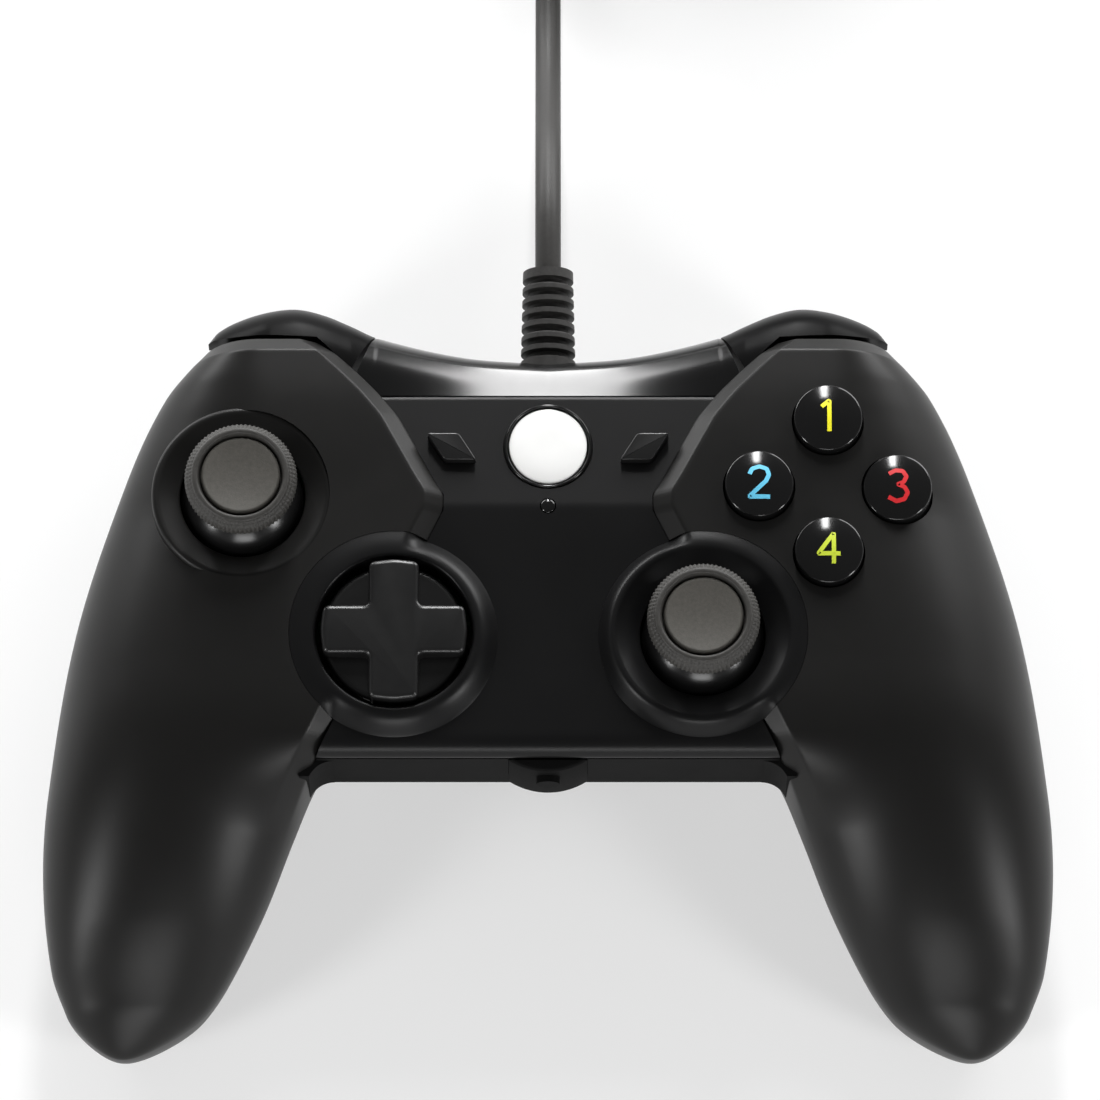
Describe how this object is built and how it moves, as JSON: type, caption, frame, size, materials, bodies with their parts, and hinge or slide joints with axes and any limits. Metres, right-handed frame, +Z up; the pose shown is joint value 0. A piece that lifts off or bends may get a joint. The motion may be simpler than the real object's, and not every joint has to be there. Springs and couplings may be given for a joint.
{
  "type": "gamepad controller",
  "caption": "Wired gamepad with thumb sticks, a direction pad, face buttons, bumpers, triggers and rumble motors, and a long cord coiled behind it that ends in a plug.",
  "frame": {"origin": "on the table under the middle of the pad, without its cord", "axes": "+X to the player's right, +Y away from the player, +Z up out of the face"},
  "size_m": [0.1862, 0.2785, 0.052],
  "materials": {
    "grip": "fine matte texture",
    "panel": "satin",
    "gloss": "gloss",
    "inner": "matte",
    "board": "satin",
    "steel": "satin",
    "soft": "matte",
    "stick": "matte",
    "white": "satin",
    "trim": "satin",
    "cord": "matte",
    "label": "satin"
  },
  "bodies": {
    "pad": {"left_grip_cover": "grip", "right_grip_cover": "grip", "left_grip_back": "grip", "right_grip_back": "grip", "rear_shell": "grip", "centre_panel": "panel", "headset_jack": "panel", "front_wall": "panel", "shoulder_bridge": "gloss", "left_stick_base": "inner", "right_stick_base": "inner", "dpad_post": "inner", "face_guide": "inner", "left_bracket": "inner", "right_bracket": "inner", "shoulder_switches": "inner", "main_board": "board", "shell_screws": "steel", "bumper_pins": "steel", "trigger_pins": "steel", "left_rumble_motor": "steel", "right_rumble_motor": "steel", "plug_shell": "steel", "dpad_pad": "soft", "face_pad": "soft", "menu_pads": "soft", "status_led": "white", "guide_ring": "trim", "strain_relief": "cord", "cable": "cord", "cable_coil": "cord", "cable_tie": "cord", "plug_body": "cord", "rating_label": "label"},
    "left_stick_ring": {"left_stick_yoke": "steel"},
    "left_stick_block": {"left_stick_pivot": "inner"},
    "left_stick": {"left_stick_cap": "stick"},
    "right_stick_ring": {"right_stick_yoke": "steel"},
    "right_stick_block": {"right_stick_pivot": "inner"},
    "right_stick": {"right_stick_cap": "stick"},
    "dpad_joint": {"dpad_hub": "inner"},
    "dpad": {"dpad_cross": "panel"},
    "face_button_top": {"face_button_top": "gloss"},
    "face_button_left": {"face_button_left": "gloss"},
    "face_button_right": {"face_button_right": "gloss"},
    "face_button_bottom": {"face_button_bottom": "gloss"},
    "left_menu_button": {"left_menu_button": "panel"},
    "right_menu_button": {"right_menu_button": "panel"},
    "guide_button": {"guide_button": "white"},
    "left_bumper": {"left_bumper": "gloss"},
    "left_trigger": {"left_trigger": "panel"},
    "left_rumble_weight": {"left_rumble_weight": "steel"},
    "right_bumper": {"right_bumper": "gloss"},
    "right_trigger": {"right_trigger": "panel"},
    "right_rumble_weight": {"right_rumble_weight": "steel"}
  },
  "joints": [
    {"name": "left_stick_tilt_forward", "type": "hinge", "parent": "pad", "child": "left_stick_ring", "pos_m": [-0.0468, 0.0251, 0.035], "axis": [1, 0, 0], "range_deg": [-15, 15], "stiffness_Nm_per_rad": 0.02},
    {"name": "left_stick_tilt_side", "type": "hinge", "parent": "left_stick_ring", "child": "left_stick_block", "pos_m": [-0.0468, 0.0251, 0.035], "axis": [0, 1, 0], "range_deg": [-15, 15], "stiffness_Nm_per_rad": 0.02},
    {"name": "left_stick_click", "type": "slide", "parent": "left_stick_block", "child": "left_stick", "axis": [0, 0, -1], "range_m": [0, 0.0005], "stiffness_N_per_m": 1500, "springref_m": -0.0004},
    {"name": "right_stick_tilt_forward", "type": "hinge", "parent": "pad", "child": "right_stick_ring", "pos_m": [0.0236, 0.0029, 0.035], "axis": [1, 0, 0], "range_deg": [-15, 15], "stiffness_Nm_per_rad": 0.02},
    {"name": "right_stick_tilt_side", "type": "hinge", "parent": "right_stick_ring", "child": "right_stick_block", "pos_m": [0.0236, 0.0029, 0.035], "axis": [0, 1, 0], "range_deg": [-15, 15], "stiffness_Nm_per_rad": 0.02},
    {"name": "right_stick_click", "type": "slide", "parent": "right_stick_block", "child": "right_stick", "axis": [0, 0, -1], "range_m": [0, 0.0005], "stiffness_N_per_m": 1500, "springref_m": -0.0004},
    {"name": "dpad_rock_forward", "type": "hinge", "parent": "pad", "child": "dpad_joint", "pos_m": [-0.0235, 0.0029, 0.038], "axis": [1, 0, 0], "range_deg": [-4, 4], "stiffness_Nm_per_rad": 0.3},
    {"name": "dpad_rock_side", "type": "hinge", "parent": "dpad_joint", "child": "dpad", "pos_m": [-0.0235, 0.0029, 0.038], "axis": [0, 1, 0], "range_deg": [-4, 4], "stiffness_Nm_per_rad": 0.3},
    {"name": "face_button_top_press", "type": "slide", "parent": "pad", "child": "face_button_top", "axis": [0, 0, -1], "range_m": [0, 0.0015], "stiffness_N_per_m": 700, "springref_m": -0.0006},
    {"name": "face_button_left_press", "type": "slide", "parent": "pad", "child": "face_button_left", "axis": [0, 0, -1], "range_m": [0, 0.0015], "stiffness_N_per_m": 700, "springref_m": -0.0006},
    {"name": "face_button_right_press", "type": "slide", "parent": "pad", "child": "face_button_right", "axis": [0, 0, -1], "range_m": [0, 0.0015], "stiffness_N_per_m": 700, "springref_m": -0.0006},
    {"name": "face_button_bottom_press", "type": "slide", "parent": "pad", "child": "face_button_bottom", "axis": [0, 0, -1], "range_m": [0, 0.0015], "stiffness_N_per_m": 700, "springref_m": -0.0006},
    {"name": "left_menu_button_press", "type": "slide", "parent": "pad", "child": "left_menu_button", "axis": [0, 0, -1], "range_m": [0, 0.0008], "stiffness_N_per_m": 700, "springref_m": -0.0006},
    {"name": "right_menu_button_press", "type": "slide", "parent": "pad", "child": "right_menu_button", "axis": [0, 0, -1], "range_m": [0, 0.0008], "stiffness_N_per_m": 700, "springref_m": -0.0006},
    {"name": "guide_button_press", "type": "slide", "parent": "pad", "child": "guide_button", "axis": [0, 0, -1], "range_m": [0, 0.0008], "stiffness_N_per_m": 700, "springref_m": -0.0006},
    {"name": "left_bumper_press", "type": "hinge", "parent": "pad", "child": "left_bumper", "pos_m": [-0.032, 0.0505, 0.03], "axis": [0, 0, 1], "range_deg": [0, 3], "stiffness_Nm_per_rad": 0.6, "springref_deg": -1.72},
    {"name": "left_trigger_pull", "type": "hinge", "parent": "pad", "child": "left_trigger", "pos_m": [-0.0397, 0.047, 0.022], "axis": [-1, 0, 0], "range_deg": [0, 18], "stiffness_Nm_per_rad": 0.12, "springref_deg": -8.59},
    {"name": "left_rumble_spin", "type": "hinge", "parent": "pad", "child": "left_rumble_weight", "pos_m": [-0.0655, -0.022, 0.02], "axis": [1, 0, 0], "continuous": true},
    {"name": "right_bumper_press", "type": "hinge", "parent": "pad", "child": "right_bumper", "pos_m": [0.032, 0.0505, 0.03], "axis": [0, 0, -1], "range_deg": [0, 3], "stiffness_Nm_per_rad": 0.6, "springref_deg": -1.72},
    {"name": "right_trigger_pull", "type": "hinge", "parent": "pad", "child": "right_trigger", "pos_m": [0.0397, 0.047, 0.022], "axis": [-1, 0, 0], "range_deg": [0, 18], "stiffness_Nm_per_rad": 0.12, "springref_deg": -8.59},
    {"name": "right_rumble_spin", "type": "hinge", "parent": "pad", "child": "right_rumble_weight", "pos_m": [0.0655, -0.022, 0.02], "axis": [1, 0, 0], "continuous": true}
  ]
}
